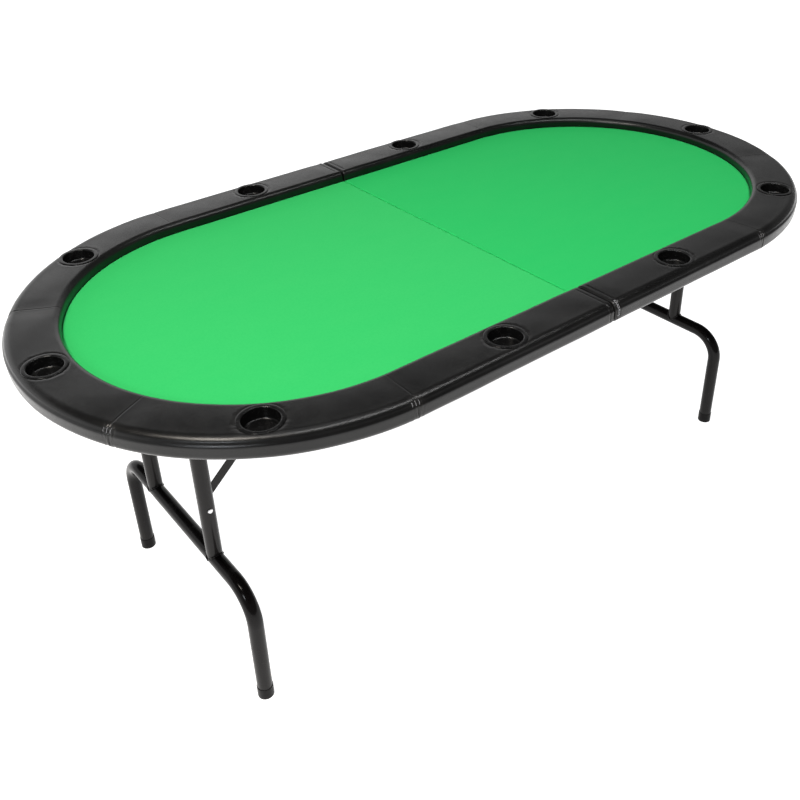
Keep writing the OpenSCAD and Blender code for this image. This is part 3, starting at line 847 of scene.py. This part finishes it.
def make_weld_beads(side):
    """A rippled bead of weld round the foot of each upright, where it sits on the cross tube."""
    pivot = Vector(joints[f"{side}_leg_fold"]["pos_m"])
    foot = centre_of(f"foot_cap_{side}_front")
    lean = math.atan2(foot.x - pivot.x, pivot.z - foot.z)
    low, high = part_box(f"leg_upright_{side}_front")
    tube_r = (high.y - low.y) / 2
    drop = (pivot.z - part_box(f"leg_foot_tube_{side}")[1].z + tube_r) / math.cos(lean)
    turn = Matrix.Rotation(-lean, 4, "Y")
    parts = []
    for end in ENDS:
        y = centre_of(f"leg_upright_{side}_{end}").y
        path, widths = [], []
        for k in range(BEAD_STEPS):
            a = 2 * math.pi * k / BEAD_STEPS
            out = tube_r + 0.0006
            p = turn @ Vector((out * math.cos(a), 0, -drop + tube_r * abs(math.sin(a)) + 0.0004))
            p += Vector((0, out * math.sin(a), 0))
            path.append((pivot.x + p.x, y + p.y, pivot.z + p.z))
            widths.append(BEAD_R + 0.0003 * math.sin(18 * a) + 0.0002 * math.sin(5 * a + y))
        parts.append(tube(path, widths, 8, closed=True))
    points, faces = joined(parts)
    new_piece(f"weld_beads_{side}", points, faces, LEG_PAINT, f"{side}_leg", 70)


for side in SIDES:
    make_seam_stitches(side)
    make_whip_stitches(side)
    make_staples(side)
    make_weld_beads(side)


# ---- camera, floor and light ----

CAMERA_AT = (-1.2931, -1.5569, 1.7064)
YAW, PITCH, ROLL = 0.658, 0.5646, -0.0299
forward = Vector((math.sin(YAW) * math.cos(PITCH), math.cos(YAW) * math.cos(PITCH), -math.sin(PITCH)))
level = Vector((math.cos(YAW), -math.sin(YAW), 0))
upward = level.cross(forward)
right_way = math.cos(ROLL) * level + math.sin(ROLL) * upward
up_way = -math.sin(ROLL) * level + math.cos(ROLL) * upward
camera = bpy.data.objects.new("camera", bpy.data.cameras.new("camera"))
camera.data.lens = 41.637
camera.data.shift_x, camera.data.shift_y = -0.0231, -0.0617
camera.data.clip_end = 60
looking = Matrix((right_way, up_way, -forward)).transposed().to_4x4()
camera.matrix_world = Matrix.Translation(CAMERA_AT) @ looking
scene.collection.objects.link(camera)
scene.camera = camera

FLOOR_HALF = 20
floor_corners = [(x * FLOOR_HALF, y * FLOOR_HALF, 0) for x, y in ((-1, -1), (1, -1), (1, 1), (-1, 1))]
floor_mesh = bpy.data.meshes.new("floor")
floor_mesh.from_pydata(floor_corners, [], [(0, 1, 2, 3)])
floor_mesh.materials.append(make_floor())
floor = bpy.data.objects.new("floor", floor_mesh)
scene.collection.objects.link(floor)

CEILING_LIGHT, SIDE_WALL_LIGHT, BACK_WALL_LIGHT = 0.06, 0.22, 1.15
CEILING_FROM, CEILING_TO = 0.44, 0.54
scene.world = bpy.data.worlds.new("studio")
studio = Finish("studio", scene.world, "Background", strength=1.0)
way = studio.node("ShaderNodeTexCoord", out="Generated")
way_x, way_y, way_z = (studio.node("ShaderNodeSeparateXYZ", {}, {0: way}, k) for k in range(3))
back = studio.step(way_y - way_x * 0.45, -0.1, 0.75)
walls = back * (BACK_WALL_LIGHT - SIDE_WALL_LIGHT) + SIDE_WALL_LIGHT
ceiling = studio.step(way_z, CEILING_FROM, CEILING_TO)
level_light = walls * (1 - ceiling) + ceiling * CEILING_LIGHT
grey = studio.node("ShaderNodeCombineColor", {}, dict.fromkeys(range(3), level_light))
studio.set("Color", grey)
scene.view_settings.view_transform = "Standard"


def softbox(name, at, aim, size, power, colour=(1, 1, 1)):
    """A rectangular area light at one place, facing another; power in watts."""
    light = bpy.data.lights.new(name, "AREA")
    light.shape = "RECTANGLE"
    light.size, light.size_y = size
    light.energy = power
    light.color = colour
    lamp = bpy.data.objects.new(name, light)
    lamp.location = at
    lamp.rotation_mode = "QUATERNION"
    lamp.rotation_quaternion = (Vector(aim) - Vector(at)).to_track_quat("-Z", "Y")
    scene.collection.objects.link(lamp)


softbox("key_softbox", (-1.7, -0.45, 3.1), (-0.6, -0.2, 0.7), (0.8, 0.5), 46, (1.0, 0.93, 0.84))
softbox("strip_softbox", (0.2, -0.9, 3.2), (0.2, -0.3, 0.7), (2.4, 0.2), 33)
softbox("low_softbox", (-3.2, -1.9, 2.6), (-0.5, -0.2, 0.7), (0.8, 0.5), 22, (0.9, 0.95, 1.0))
softbox("top_softbox", (-0.2, 0.4, 4.2), (0, 0, 0.7), (2.6, 2.0), 14)
